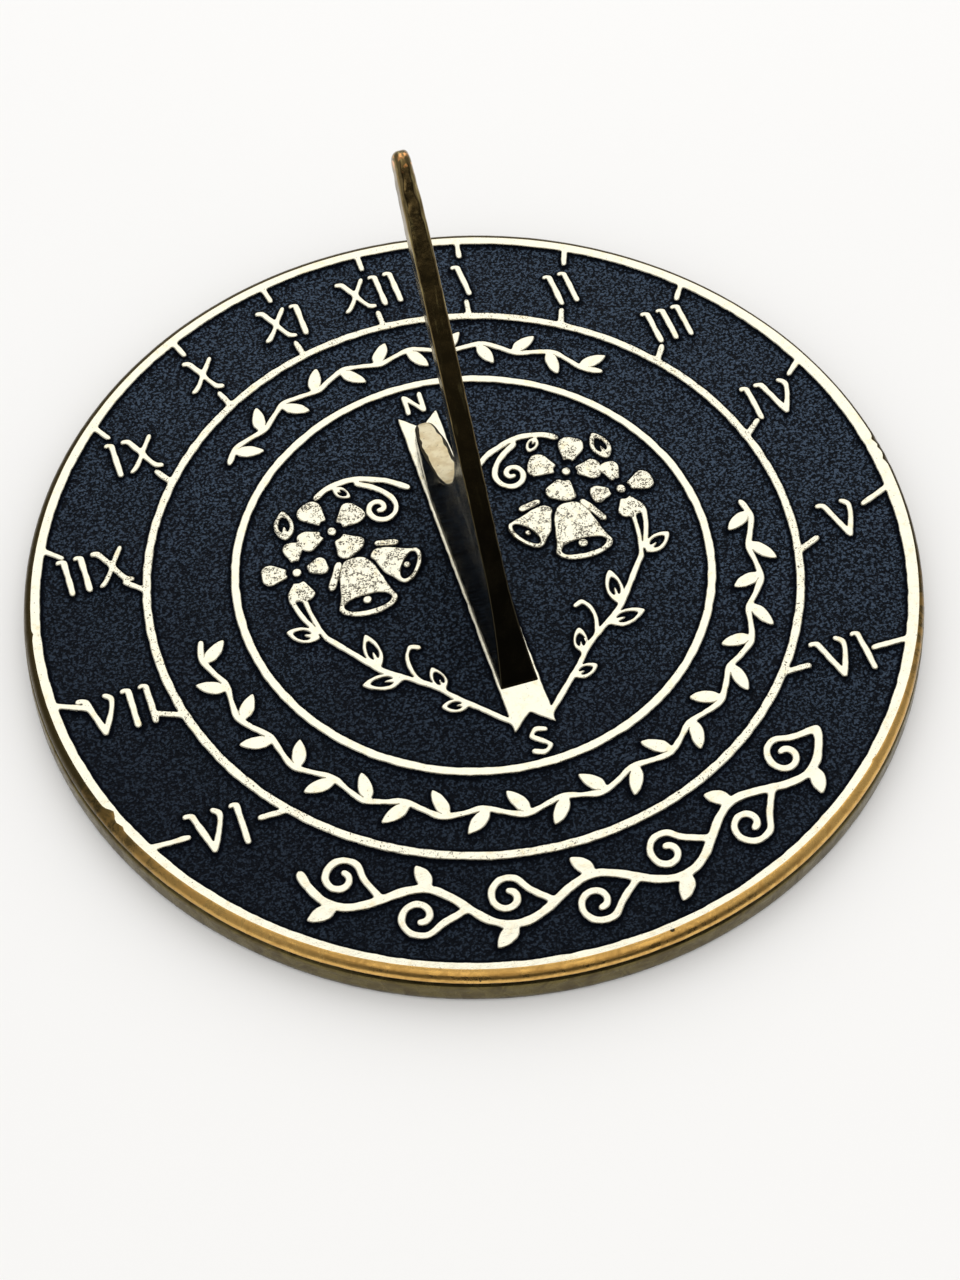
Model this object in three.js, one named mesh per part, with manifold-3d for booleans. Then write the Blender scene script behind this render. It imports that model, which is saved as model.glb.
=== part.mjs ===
// A brass garden sundial: a round cast dial plate with raised hours and ornament, and a cast gnomon
// held down on it by two screws from beneath. The dark enamel in the field is a finish, not a piece.
// Millimetres, +Z up, +Y north (towards XII), +X east. The origin is the middle of the underside.
import * as THREE from 'three';
import { mergeVertices } from 'three/addons/utils/BufferGeometryUtils.js';
import Module from 'manifold-3d';

const wasm = await Module();
wasm.setup();

// Dial plate
const DIAL_RADIUS = 110;
const DIAL_HEIGHT = 9.5;
const RELIEF_DEPTH = 1;
const WEB_THICKNESS = 3.2;
const SKIRT_THICKNESS = 5.5;
const RIM_INNER_RADIUS = 105;
const MIDDLE_RING_RADIUS = 79.3;
const INNER_RING_RADIUS = 57.9;
const RING_WIDTH = 2;
const ROUND_SEGMENTS = 72;
const STROKE_STEP = 3.1;

// Hours: the hour lines meet at a point south of the middle
const HOUR_LINE_LATITUDE = 41;
const HOUR_CENTRE_SOUTH = 52;
const NUMERAL_RADIUS = 92;
const NUMERAL_HEIGHT = 11.5;
const NUMERAL_SPACING = 2.2;
const TICK_WIDTH = 1.4;
const OUTER_TICK_END = 100.5;
const LONG_TICK_END = 98;
const INNER_TICK_END = 84.5;

// Compass ribbon, under the gnomon
const RIBBON_HALF_WIDTH = 5.1;
const RIBBON_HALF_LENGTH = 48.5;
const RIBBON_NOTCH = 4.5;

// Borders
const LEAF_PITCH = 9;

// Gnomon, with heights above the relief that it stands on
const STYLE_ANGLE = 46;
const STYLE_ROOT_Y = -36.5;
const TIP_HEIGHT = 88.5;
const TIP_RADIUS = 2.9;
const FOOT_NORTH_Y = 43.5;
const FOOT_END_HEIGHT = 3.4;
const BASE_HALF_THICKNESS = 4.6;
const BLADE_HALF_THICKNESS = 2.4;
const FLARE_HEIGHT = 22;
const CROWN_HEIGHT = 4.3;
const FOOT_SHOULDER_Y = 18;
const FOOT_SHOULDER_HEIGHT = 12;
const FOOT_END_RADIUS = 3;

// Fixings: M4 screws with washers
const SCREW_YS = { south: -20, north: 14 };
const SCREW_RADIUS = 2;
const SCREW_LENGTH = 12;
const SCREW_HEAD_RADIUS = 4;
const SCREW_HEAD_HEIGHT = 2.8;
const WASHER_RADIUS = 4.5;
const WASHER_THICKNESS = 0.8;
const TAPPED_DEPTH = 8;
const CLEARANCE = 0.3;

// Levels worked out from them
const RELIEF_TOP = DIAL_HEIGHT;
const FIELD_Z = RELIEF_TOP - RELIEF_DEPTH;
const RECESS_Z = FIELD_Z - WEB_THICKNESS;
const HOLE_RADIUS = SCREW_RADIUS + CLEARANCE;
const ROOTED = 0.5; // how far a raised shape is sunk into the plate to join it

const radians = THREE.MathUtils.degToRad;

// ---------------------------------------------------------------- solids

function solidFrom(geometry) {
  geometry.deleteAttribute('normal');
  geometry.deleteAttribute('uv');
  const merged = mergeVertices(geometry, 1e-4);
  return new wasm.Manifold(new wasm.Mesh({
    numProp: 3,
    vertProperties: new Float32Array(merged.attributes.position.array),
    triVerts: new Uint32Array(merged.index.array),
  }));
}

function geometryFrom(solid) {
  const mesh = solid.getMesh();
  const geometry = new THREE.BufferGeometry();
  geometry.setAttribute('position', new THREE.BufferAttribute(mesh.vertProperties, 3));
  geometry.setIndex(new THREE.BufferAttribute(mesh.triVerts, 1));
  return geometry;
}

function prism(shape, bottom, top) {
  const geometry = new THREE.ExtrudeGeometry(shape, {
    depth: top - bottom,
    bevelEnabled: false,
    curveSegments: 8,
  });
  return solidFrom(geometry.translate(0, 0, bottom));
}

// A solid of revolution about Z from a closed profile of [radius, z] pairs, anticlockwise.
function turned(profile, segments = ROUND_SEGMENTS) {
  const points = profile.map(([radius, z]) => new THREE.Vector2(radius, z));
  points.push(points[0].clone());
  return solidFrom(new THREE.LatheGeometry(points, segments).rotateX(Math.PI / 2));
}

function cylinder(radius, bottom, top, y, segments = 24) {
  const geometry = new THREE.CylinderGeometry(radius, radius, top - bottom, segments);
  geometry.rotateX(Math.PI / 2);
  return solidFrom(geometry.translate(0, y, (top + bottom) / 2));
}

// ---------------------------------------------------------------- flat outlines

const vectors = (pairs) => pairs.map(([x, y]) => new THREE.Vector2(x, y));

// The [cosine, sine] of evenly spaced angles, in `steps` steps between two in degrees.
function arc(steps, from, to) {
  return Array.from({ length: steps + 1 }, (_, k) => {
    const angle = radians(from + (to - from) * k / steps);
    return [Math.cos(angle), Math.sin(angle)];
  });
}

// Points about `step` apart along a smooth line through the given ones.
function smoothLine(pairs, step) {
  const curve = new THREE.SplineCurve(vectors(pairs));
  const count = Math.max(pairs.length - 1, Math.round(curve.getLength() / step));
  return curve.getSpacedPoints(count);
}

function directionAt(line, i) {
  const before = line[Math.max(i - 1, 0)];
  const after = line[Math.min(i + 1, line.length - 1)];
  return after.clone().sub(before).normalize();
}

// The outline of a brush stroke of the given width, with blunted ends.
function strokeShape(line, width) {
  const half = width / 2;
  const left = [];
  const right = [];
  line.forEach((point, i) => {
    const along = directionAt(line, i);
    const across = new THREE.Vector2(-along.y, along.x).multiplyScalar(half);
    left.push(point.clone().add(across));
    right.unshift(point.clone().sub(across));
  });
  const last = line.length - 1;
  return new THREE.Shape([
    ...left,
    ...blunted(line[last], directionAt(line, last), half),
    ...right,
    ...blunted(line[0], directionAt(line, 0).negate(), half),
  ]);
}

function blunted(centre, outward, radius) {
  const middle = outward.angle();
  return [1, -1].map((k) => {
    const angle = middle + k * Math.PI / 6;
    return new THREE.Vector2(Math.cos(angle), Math.sin(angle)).multiplyScalar(radius).add(centre);
  });
}

// A closed outline, anticlockwise, with its sides moved outward by `distance`.
function grown(pairs, distance) {
  const points = vectors(pairs);
  const outline = THREE.ShapeUtils.area(points) > 0 ? points : points.reverse();
  const longestMitre = 2.5;
  return outline.map((point, i) => {
    const before = outline[(i + outline.length - 1) % outline.length];
    const after = outline[(i + 1) % outline.length];
    const arriving = point.clone().sub(before).normalize();
    const leaving = after.clone().sub(point).normalize();
    const along = arriving.clone().add(leaving).normalize();
    const mitre = Math.min(1 / Math.max(along.dot(leaving), 0.01), longestMitre);
    return new THREE.Vector2(along.y, -along.x).multiplyScalar(distance * mitre).add(point);
  });
}

function ellipse(cx, cy, rx, ry, count = 14) {
  return Array.from({ length: count }, (_, i) => {
    const angle = i / count * 2 * Math.PI;
    return [cx + rx * Math.cos(angle), cy + ry * Math.sin(angle)];
  });
}

// The lower half of an ellipse about the origin, from its west end to its east end.
function lowerHalf(rx, ry, count = 7) {
  return Array.from({ length: count }, (_, i) => {
    const angle = Math.PI * (1 + i / (count - 1));
    return [rx * Math.cos(angle), ry * Math.sin(angle)];
  });
}

// A pointed leaf from its base to its tip, as a closed outline.
function leafOutline(base, tip, width) {
  const length = Math.hypot(tip[0] - base[0], tip[1] - base[1]);
  const along = [(tip[0] - base[0]) / length, (tip[1] - base[1]) / length];
  const at = (forward, side) => [
    base[0] + along[0] * forward - along[1] * side,
    base[1] + along[1] * forward + along[0] * side,
  ];
  const half = width / 2;
  return [
    at(0, 0), at(length * 0.3, half * 0.95), at(length * 0.68, half * 0.85),
    at(length, 0), at(length * 0.68, -half * 0.85), at(length * 0.3, -half * 0.95),
  ];
}

// ---------------------------------------------------------------- raised work
// Each function below returns solids that stand out of the field.

function raised(shape) {
  return prism(shape, FIELD_Z - ROOTED, RELIEF_TOP);
}

function stroke(pairs, width) {
  return raised(strokeShape(smoothLine(pairs, STROKE_STEP), width));
}

function straightStroke(pairs, width) {
  return raised(strokeShape(vectors(pairs), width));
}

function patch(pairs, hollow = [], grow = 0) {
  const shape = new THREE.Shape(grown(pairs, grow));
  if (hollow.length > 0) {
    shape.holes.push(new THREE.Path(vectors(hollow)));
  }
  return raised(shape);
}

// Where the hour line of `hour` hours from noon crosses the circle of `radius` about the middle.
function hourPoint(hour, radius) {
  const angle = Math.atan2(
    Math.sin(radians(HOUR_LINE_LATITUDE)) * Math.sin(radians(15 * hour)),
    Math.cos(radians(15 * hour)),
  );
  const reach = HOUR_CENTRE_SOUTH * Math.cos(angle)
    + Math.sqrt(radius ** 2 - (HOUR_CENTRE_SOUTH * Math.sin(angle)) ** 2);
  return [reach * Math.sin(angle), reach * Math.cos(angle) - HOUR_CENTRE_SOUTH];
}

function hourTicks() {
  const solids = [];
  for (let hour = -6; hour <= 6; hour += 1) {
    const outerEnd = Math.abs(hour) >= 5 ? LONG_TICK_END : OUTER_TICK_END;
    const outer = [hourPoint(hour, RIM_INNER_RADIUS + ROOTED), hourPoint(hour, outerEnd)];
    const inner = [hourPoint(hour, MIDDLE_RING_RADIUS), hourPoint(hour, INNER_TICK_END)];
    solids.push(straightStroke(outer, TICK_WIDTH), straightStroke(inner, TICK_WIDTH));
  }
  return solids;
}

// Brush letters, in units of half the letter's height about its middle.
const LETTERS = {
  I: { width: 2, strokes: [[[[-0.24, 0.86], [-0.02, 0.86], [0.04, -0.88]], 1.5]] },
  V: {
    width: 8,
    strokes: [
      [[[-0.82, 0.9], [-0.56, 0.88], [-0.02, -0.86]], 1.5],
      [[[-0.02, -0.86], [0.44, 0.26], [0.5, 0.7], [0.26, 0.9]], 1.3],
    ],
  },
  X: {
    width: 7,
    strokes: [
      [[[-0.66, 0.86], [-0.44, 0.82], [0.46, -0.8], [0.68, -0.86]], 1.5],
      [[[0.52, 0.88], [-0.44, -0.72], [-0.62, -0.86]], 1.2],
    ],
  },
};

function numeral(text, centre) {
  const half = NUMERAL_HEIGHT / 2;
  const widths = [...text].map((letter) => LETTERS[letter].width);
  const total = widths.reduce((sum, width) => sum + width + NUMERAL_SPACING, -NUMERAL_SPACING);
  let left = centre[0] - total / 2;
  const solids = [];
  [...text].forEach((letter, i) => {
    const middle = left + widths[i] / 2;
    LETTERS[letter].strokes.forEach(([pairs, width]) => {
      const placed = pairs.map(([x, y]) => [middle + x * half, centre[1] + y * half]);
      solids.push(straightStroke(placed, width));
    });
    left += widths[i] + NUMERAL_SPACING;
  });
  return solids;
}

// The eighth hour is written IIX on this dial.
function numerals() {
  const texts = ['VI', 'VII', 'IIX', 'IX', 'X', 'XI', 'XII', 'I', 'II', 'III', 'IV', 'V', 'VI'];
  return texts.flatMap((text, i) => numeral(text, hourPoint(i - 6, NUMERAL_RADIUS)));
}

function compassLetters() {
  const north = RIBBON_HALF_LENGTH + 3.5;
  const south = -north;
  return [
    straightStroke([[-2, north - 2.8], [-1.8, north + 2.8]], 1.2),
    straightStroke([[-1.8, north + 2.8], [2.2, north - 2.8]], 1.2),
    straightStroke([[2.2, north - 2.8], [2.5, north + 2.9]], 1.2),
    stroke([
      [2, south + 2.4], [0, south + 3.2], [-2, south + 1.9], [0, south], [2, south - 1.9],
      [0, south - 3.2], [-2.3, south - 2.4],
    ], 1.3),
  ];
}

// The ribbon has a swallowtail at each end.
function compassRibbon() {
  const notch = RIBBON_HALF_LENGTH - RIBBON_NOTCH;
  return patch([
    [-RIBBON_HALF_WIDTH, -RIBBON_HALF_LENGTH], [0, -notch], [RIBBON_HALF_WIDTH, -RIBBON_HALF_LENGTH],
    [RIBBON_HALF_WIDTH, RIBBON_HALF_LENGTH], [0, notch], [-RIBBON_HALF_WIDTH, RIBBON_HALF_LENGTH],
  ]);
}

// ---- borders

// A point `u` along an arc of `radius` that starts at compass bearing `from`, `v` outside it.
function onArc(radius, from, u, v) {
  const bearing = radians(from) + u / radius;
  return [(radius + v) * Math.sin(bearing), (radius + v) * Math.cos(bearing)];
}

// A waving stem with a leaf at each crest, on the band between the rings.
function leafBorder(from, to) {
  const radius = (MIDDLE_RING_RADIUS + INNER_RING_RADIUS) / 2;
  const length = radius * radians(to - from);
  const count = Math.round(length / LEAF_PITCH);
  const pitch = length / count;
  const wave = (u) => 1.3 * Math.sin(u / pitch * Math.PI);
  const place = (u, v) => onArc(radius, from, u, v);
  const stem = Array.from({ length: count * 2 + 1 }, (_, i) => {
    const u = i * pitch / 2;
    return place(u, wave(u));
  });
  const solids = [straightStroke(stem, 1.3)];
  for (let i = 0; i < count; i += 1) {
    const side = i % 2 ? 1 : -1;
    const u = (i + 0.35) * pitch;
    solids.push(patch(leafOutline(place(u, wave(u)), place(u + 5, side * 5.4), 3.3)));
  }
  return solids;
}

// A running scroll south of the middle ring: a waving stem, and from each of its crossings a curl
// into the hollow that follows, with a leaf outside the crest.
function scrollBorder(halfSpan, count) {
  const radius = (RIM_INNER_RADIUS + MIDDLE_RING_RADIUS) / 2;
  const from = 180 - halfSpan;
  const pitch = radius * radians(2 * halfSpan) / count;
  const crest = 4.2;
  const place = (u, v) => onArc(radius, from, u, v);
  const stem = Array.from({ length: count * 5 + 1 }, (_, i) => {
    const u = i * pitch / 5;
    return place(u, crest * Math.sin(u / pitch * Math.PI));
  });
  const solids = [straightStroke(stem, 2)];
  for (let i = 0; i < count; i += 1) {
    const side = i % 2 ? -1 : 1;
    const spiral = Array.from({ length: 10 }, (_, k) => {
      const angle = radians(195 + k * 47);
      const reach = 5.2 - k * 0.42;
      return place((i + 0.54) * pitch + reach * Math.cos(angle), side * (reach * Math.sin(angle) - 2.6));
    });
    solids.push(straightStroke([place(i * pitch, 0), ...spiral], 1.6));
    const base = place((i + 0.45) * pitch, side * crest);
    const tip = place((i + 0.7) * pitch, side * 9.6);
    solids.push(patch(leafOutline(base, tip, 3.6)));
  }
  return solids;
}

// ---- sprays of bells and flowers, given by their distances east and north, and mirrored west

// An outlined leaf with a rib that rises from its base.
function ribbedLeaf(base, tip, width) {
  const outer = leafOutline(base, tip, width);
  const middle = [(base[0] + tip[0]) / 2, (base[1] + tip[1]) / 2];
  const inner = outer.map(([x, y]) => [
    middle[0] + (x - middle[0]) * 0.62,
    middle[1] + (y - middle[1]) * 0.62,
  ]);
  return [patch(outer, inner), patch(leafOutline(base, middle, width * 0.22))];
}

// A petal from the middle of its flower outwards, in parts of its length and of half its width: a
// wedge with a notch at its narrow end.
const PETAL = [
  [0.12, 0], [0.02, -0.36], [0.3, -0.66], [0.64, -1], [0.93, -0.76],
  [1, -0.06], [0.95, 0.64], [0.7, 1], [0.3, 0.62], [0, 0.32],
];

// Petals round a small centre, each [direction, inner reach, outer reach, width].
function flower(centre, centreRadius, petals) {
  const solids = [patch(ellipse(...centre, centreRadius, centreRadius * 1.2, 6))];
  petals.forEach(([direction, inner, outer, width]) => {
    const angle = radians(direction);
    const outline = PETAL.map(([x, y]) => {
      const forward = inner + (outer - inner) * x;
      const across = width / 2 * y;
      return [
        centre[0] + forward * Math.cos(angle) - across * Math.sin(angle),
        centre[1] + forward * Math.sin(angle) + across * Math.cos(angle),
      ];
    });
    solids.push(patch(outline));
  });
  return solids;
}

const BELL_FLANK = [[6.9, 0.8], [5.9, 3.6], [5.2, 7], [4, 10.8], [2.2, 13.2]];
const BELL_OUTLINE = [
  ...BELL_FLANK,
  ...BELL_FLANK.toReversed().map(([x, y]) => [-x, y]),
  ...lowerHalf(7.3, 3.6),
];

// A bell with its mouth towards the viewer and a clapper in it.
function bell(mouth, turn, size) {
  const angle = radians(turn);
  const place = ([x, y]) => [
    mouth[0] + size * (x * Math.cos(angle) - y * Math.sin(angle)),
    mouth[1] + size * (x * Math.sin(angle) + y * Math.cos(angle)),
  ];
  const opening = ellipse(0, 0.1, 6, 2.3, 12);
  return [
    patch(BELL_OUTLINE.map(place), opening.map(place)),
    patch(ellipse(0, 0.8, 1.2, 1.1, 6).map(place)),
  ];
}

function spray(side) {
  const across = ([x, y]) => [side * x, y];
  const line = (pairs, width) => stroke(pairs.map(across), width);
  const leaf = (base, tip, width) => ribbedLeaf(across(base), across(tip), width);
  const blossom = (centre, radius, petals) => flower(across(centre), radius, petals.map(
    ([direction, ...rest]) => [side > 0 ? direction : 180 - direction, ...rest],
  ));

  const frontMouth = [27.4, -3.3];
  const around = BELL_OUTLINE.map(([x, y]) => across([frontMouth[0] + x, frontMouth[1] + y]));
  const gapRoundFrontBell = patch(around, [], 0.9);
  const backBell = bell(across([15, 4.2]), -side * 56, 0.74);

  return [
    ...bell(across(frontMouth), 0, 1),
    ...backBell.map((solid) => solid.subtract(gapRoundFrontBell)),
    line([[31.4, 9.5], [34.7, 3.3]], 1.7),
    line([[20.7, 12.8], [16.1, 11.8]], 1.5),
    ...blossom([30.4, 19.6], 1.1, [
      [63, 3.2, 10.8, 6.6], [148, 2.6, 9.8, 7], [241, 2.4, 9, 8], [350, 2.4, 8.8, 6.2],
    ]),
    ...blossom([41.7, 10.3], 1.1, [
      [96, 3, 9, 5], [9, 2.1, 8.6, 6], [178, 2.6, 7.8, 5.2], [274, 2.6, 8.6, 6.8],
    ]),
    // top stem and its curl
    line([[31.4, 30.6], [28.9, 32.2], [24.8, 33.3], [20.7, 33.3], [17.4, 32.2], [13.2, 30.4],
      [8.7, 26.9]], 1.6),
    straightStroke([[20.7, 31.8], [17.4, 29.7], [14.5, 26.9], [13, 23.5], [13.8, 20.6], [16.3, 19.1],
      [19, 20.1], [20, 22.6], [18.9, 24.6], [17, 24.9], [15.9, 23.5], [16.4, 22.2],
      [17.6, 22.3]].map(across), 1.4),
    ...leaf([26.6, 32.2], [23.2, 28.1], 3),
    ...leaf([41.9, 20.4], [40.5, 29.3], 4.8),
    // hanging stems, and the vine down to the ribbon
    line([[45, 3], [43.9, -2], [41.4, -8]], 1.2),
    line([[42, 3], [41.3, -4], [39.9, -9.8]], 1.1),
    line([[39.9, -9.8], [33.4, -18.3], [29.8, -22.8], [26.3, -25.5], [19.1, -30.8], [15.6, -34.8],
      [8.9, -41.5], [4.6, -45.8]], 1.4),
    line([[21.6, -28.8], [22.9, -25.5], [23.1, -21.9], [22.2, -19.2], [20.7, -18.2], [19.4, -19.4]], 1.1),
    ...leaf([41, -9.6], [48.6, -5.6], 4.4),
    ...leaf([29.9, -22.2], [30.8, -11.8], 4.2),
    ...leaf([25, -26.6], [35.4, -25.4], 4.4),
    ...leaf([16.8, -32.8], [18.4, -25.4], 3.6),
    ...leaf([12.6, -38], [19.4, -36.6], 3.6),
  ];
}

function raisedWork() {
  return wasm.Manifold.union([
    ...hourTicks(),
    ...numerals(),
    ...compassLetters(),
    compassRibbon(),
    ...spray(1),
    ...spray(-1),
    ...leafBorder(-46, 46),
    ...leafBorder(92, 268),
    ...scrollBorder(42, 7),
  ]);
}

// ---------------------------------------------------------------- pieces

// The edge of the plate from the foot ring up to the flat land of the rim.
function rimEdge() {
  const bevelWidth = 1.9;
  const bevelHeight = 2;
  const landOuter = DIAL_RADIUS - 2.8;
  const bevel = arc(3, 0, 90).map(([cos, sin]) => (
    [landOuter + bevelWidth * cos, RELIEF_TOP - bevelHeight * (1 - sin)]
  ));
  return [
    [DIAL_RADIUS - 1, 0],
    [DIAL_RADIUS - 0.2, 0.6],
    [DIAL_RADIUS, 1.6],
    [DIAL_RADIUS - 0.5, 6.2],
    [DIAL_RADIUS - 1.3, 6.8],
    ...bevel,
  ];
}

function ringProfile(radius) {
  const outer = radius + RING_WIDTH / 2;
  const inner = radius - RING_WIDTH / 2;
  return [[outer, FIELD_Z], [outer, RELIEF_TOP], [inner, RELIEF_TOP], [inner, FIELD_Z]];
}

function dialPlate() {
  const skirtInner = DIAL_RADIUS - SKIRT_THICKNESS;
  const body = turned([
    [0, RECESS_Z],
    [skirtInner - 1, RECESS_Z],
    [skirtInner, 0],
    ...rimEdge(),
    [RIM_INNER_RADIUS, RELIEF_TOP],
    [RIM_INNER_RADIUS, FIELD_Z],
    ...ringProfile(MIDDLE_RING_RADIUS),
    ...ringProfile(INNER_RING_RADIUS),
    [0, FIELD_Z],
  ]);
  const holes = Object.values(SCREW_YS).map((y) => cylinder(HOLE_RADIUS, RECESS_Z - 1, RELIEF_TOP + 1, y));
  return body.add(raisedWork()).subtract(wasm.Manifold.union(holes));
}

// The gnomon's outline seen from the east, as a shape of [north, height].
function gnomonProfile() {
  const slope = Math.tan(radians(STYLE_ANGLE));
  const tipZ = TIP_HEIGHT - TIP_RADIUS;
  const tipY = STYLE_ROOT_Y + (tipZ + TIP_RADIUS / Math.cos(radians(STYLE_ANGLE))) / slope;
  const tip = arc(12, 90 + STYLE_ANGLE, STYLE_ANGLE - 90).map(([cos, sin]) => (
    [tipY + TIP_RADIUS * cos, tipZ + TIP_RADIUS * sin]
  ));
  const back = smoothLine([
    [9.5, 40.5], [6.6, 34], [7.4, 26], [11, 19], [17, 12.5], [25, 8.6], [34, 5.8],
    [FOOT_NORTH_Y - 1.5, FOOT_END_HEIGHT],
  ], 2.5);
  return new THREE.Shape([
    ...vectors([[STYLE_ROOT_Y, 0]]),
    ...vectors(tip),
    ...back,
    ...vectors([[FOOT_NORTH_Y, FOOT_END_HEIGHT / 2], [FOOT_NORTH_Y, 0]]),
  ]);
}

// Its outline seen from the south: a blade that flares out to its base and is rounded at its tip.
function gnomonSection() {
  const steps = 10;
  const flare = Array.from({ length: steps + 1 }, (_, k) => {
    const spread = (BASE_HALF_THICKNESS - BLADE_HALF_THICKNESS) * (1 - k / steps) ** 2;
    return [BLADE_HALF_THICKNESS + spread, k / steps * FLARE_HEIGHT];
  });
  const crownStart = TIP_HEIGHT - CROWN_HEIGHT + CLEARANCE;
  const crown = arc(6, 0, 90).map(([cos, sin]) => (
    [BLADE_HALF_THICKNESS * cos, crownStart + CROWN_HEIGHT * sin]
  ));
  const east = [...flare, ...crown];
  const west = east.slice(0, -1).toReversed().map(([x, z]) => [-x, z]);
  return new THREE.Shape(vectors([...east, ...west]));
}

// The foot's outline seen from above: it narrows to a round north end.
function gnomonPlan() {
  const end = arc(6, 0, 90).map(([cos, sin]) => (
    [FOOT_END_RADIUS * cos, FOOT_NORTH_Y - FOOT_END_RADIUS * (1 - sin)]
  ));
  const east = [
    [BASE_HALF_THICKNESS, STYLE_ROOT_Y - 1], [BASE_HALF_THICKNESS, FOOT_SHOULDER_Y], [4, 30], ...end,
  ];
  const west = east.slice(0, -1).toReversed().map(([x, y]) => [-x, y]);
  return new THREE.Shape(vectors([...east, ...west]));
}

function gnomon() {
  const reach = BASE_HALF_THICKNESS + 1;
  const above = TIP_HEIGHT + 1;
  const across = new THREE.ExtrudeGeometry(gnomonProfile(), { depth: 2 * reach, bevelEnabled: false });
  across.translate(0, 0, -reach).rotateX(Math.PI / 2).rotateZ(Math.PI / 2);
  const along = new THREE.ExtrudeGeometry(gnomonSection(), { depth: 2 * DIAL_RADIUS, bevelEnabled: false });
  along.rotateX(Math.PI / 2).translate(0, DIAL_RADIUS, 0);
  // The foot alone narrows to the north: everything south of its shoulder and above it keeps its width.
  const block = (south, north, bottom) => prism(new THREE.Shape(vectors([
    [-reach, south], [reach, south], [reach, north], [-reach, north],
  ])), bottom, above);
  const narrowed = wasm.Manifold.union([
    prism(gnomonPlan(), 0, above),
    block(STYLE_ROOT_Y - 1, FOOT_SHOULDER_Y, 0),
    block(FOOT_SHOULDER_Y - 1, DIAL_RADIUS, FOOT_SHOULDER_HEIGHT),
  ]);
  const body = solidFrom(across).intersect(solidFrom(along)).intersect(narrowed);
  const holes = Object.values(SCREW_YS).map((y) => cylinder(HOLE_RADIUS, -1, TAPPED_DEPTH, y));
  return body.subtract(wasm.Manifold.union(holes)).translate([0, 0, RELIEF_TOP]);
}

// A pan-head screw with a cross recess, driven up from beneath.
function gnomonScrew(y) {
  const seat = RECESS_Z - WASHER_THICKNESS;
  const crown = seat - SCREW_HEAD_HEIGHT;
  const screw = turned([
    [0, crown],
    [SCREW_HEAD_RADIUS - 1.2, crown],
    [SCREW_HEAD_RADIUS - 0.3, crown + 0.6],
    [SCREW_HEAD_RADIUS, crown + 1.4],
    [SCREW_HEAD_RADIUS, seat],
    [SCREW_RADIUS, seat],
    [SCREW_RADIUS, seat + SCREW_LENGTH - 0.6],
    [SCREW_RADIUS - 0.6, seat + SCREW_LENGTH],
    [0, seat + SCREW_LENGTH],
  ], 24);
  const slots = [[4.4, 1], [1, 4.4]].map(([width, depth]) => (
    solidFrom(new THREE.BoxGeometry(width, depth, 3).translate(0, 0, crown))
  ));
  return screw.subtract(wasm.Manifold.union(slots)).translate([0, y, 0]);
}

function gnomonWasher(y) {
  const bottom = RECESS_Z - WASHER_THICKNESS;
  return cylinder(WASHER_RADIUS, bottom, RECESS_Z, y)
    .subtract(cylinder(HOLE_RADIUS, bottom - 1, RECESS_Z + 1, y));
}

// ---------------------------------------------------------------- assembly

const brass = { color: 0xc9ae6a, roughness: 0.28, metalness: 1 };
const darkBrass = { color: 0x6b5a34, roughness: 0.18, metalness: 1 };
const steel = { color: 0x9a9c9e, roughness: 0.35, metalness: 1 };

const sundial = new THREE.Group();

function addPiece(name, solid, finish) {
  const mesh = new THREE.Mesh(geometryFrom(solid), new THREE.MeshStandardMaterial(finish));
  mesh.name = name;
  sundial.add(mesh);
}

addPiece('dial_plate', dialPlate(), brass);
addPiece('gnomon', gnomon(), darkBrass);
for (const [end, y] of Object.entries(SCREW_YS)) {
  addPiece(`gnomon_screw_${end}`, gnomonScrew(y), steel);
  addPiece(`gnomon_washer_${end}`, gnomonWasher(y), steel);
}

export default sundial;
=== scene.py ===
"""A brass garden sundial: a cast dial plate with raised hours and ornament, dark enamel in its field,
and a polished gnomon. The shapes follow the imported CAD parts. Lengths below are in millimetres."""

import math

import bmesh
import bpy
import numpy as np
from mathutils import Matrix, Vector, noise
from mathutils.geometry import delaunay_2d_cdt, tessellate_polygon
from mathutils.kdtree import KDTree


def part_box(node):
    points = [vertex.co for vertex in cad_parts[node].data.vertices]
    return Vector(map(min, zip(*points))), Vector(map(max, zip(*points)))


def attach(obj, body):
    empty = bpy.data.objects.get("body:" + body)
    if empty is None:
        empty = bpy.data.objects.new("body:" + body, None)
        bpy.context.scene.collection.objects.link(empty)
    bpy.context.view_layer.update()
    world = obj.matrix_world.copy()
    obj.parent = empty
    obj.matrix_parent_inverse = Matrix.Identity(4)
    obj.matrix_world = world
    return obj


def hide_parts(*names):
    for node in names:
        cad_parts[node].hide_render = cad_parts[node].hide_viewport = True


MM = 0.001

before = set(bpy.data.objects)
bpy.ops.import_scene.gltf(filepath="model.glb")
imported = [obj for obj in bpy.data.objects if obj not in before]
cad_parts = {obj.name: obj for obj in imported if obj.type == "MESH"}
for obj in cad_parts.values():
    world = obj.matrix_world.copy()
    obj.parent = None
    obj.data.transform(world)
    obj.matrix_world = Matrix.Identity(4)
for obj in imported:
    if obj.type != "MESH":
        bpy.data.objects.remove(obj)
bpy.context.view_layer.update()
_, plate_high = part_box("dial_plate")
gnomon_low, gnomon_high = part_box("gnomon")

# The plate, as in the CAD model
DIAL_RADIUS = plate_high.x / MM
RELIEF_TOP = plate_high.z / MM
RELIEF_DEPTH = 1.0
FIELD_Z = RELIEF_TOP - RELIEF_DEPTH
WEB_THICKNESS = 3.2
RECESS_Z = FIELD_Z - WEB_THICKNESS
SKIRT_THICKNESS = 5.5
LAND_OUTER_RADIUS = DIAL_RADIUS - 2.8
RIM_INNER_RADIUS = DIAL_RADIUS - 5
INNER_RING_EDGE = 59.3  # just outside the inner ring

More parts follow.
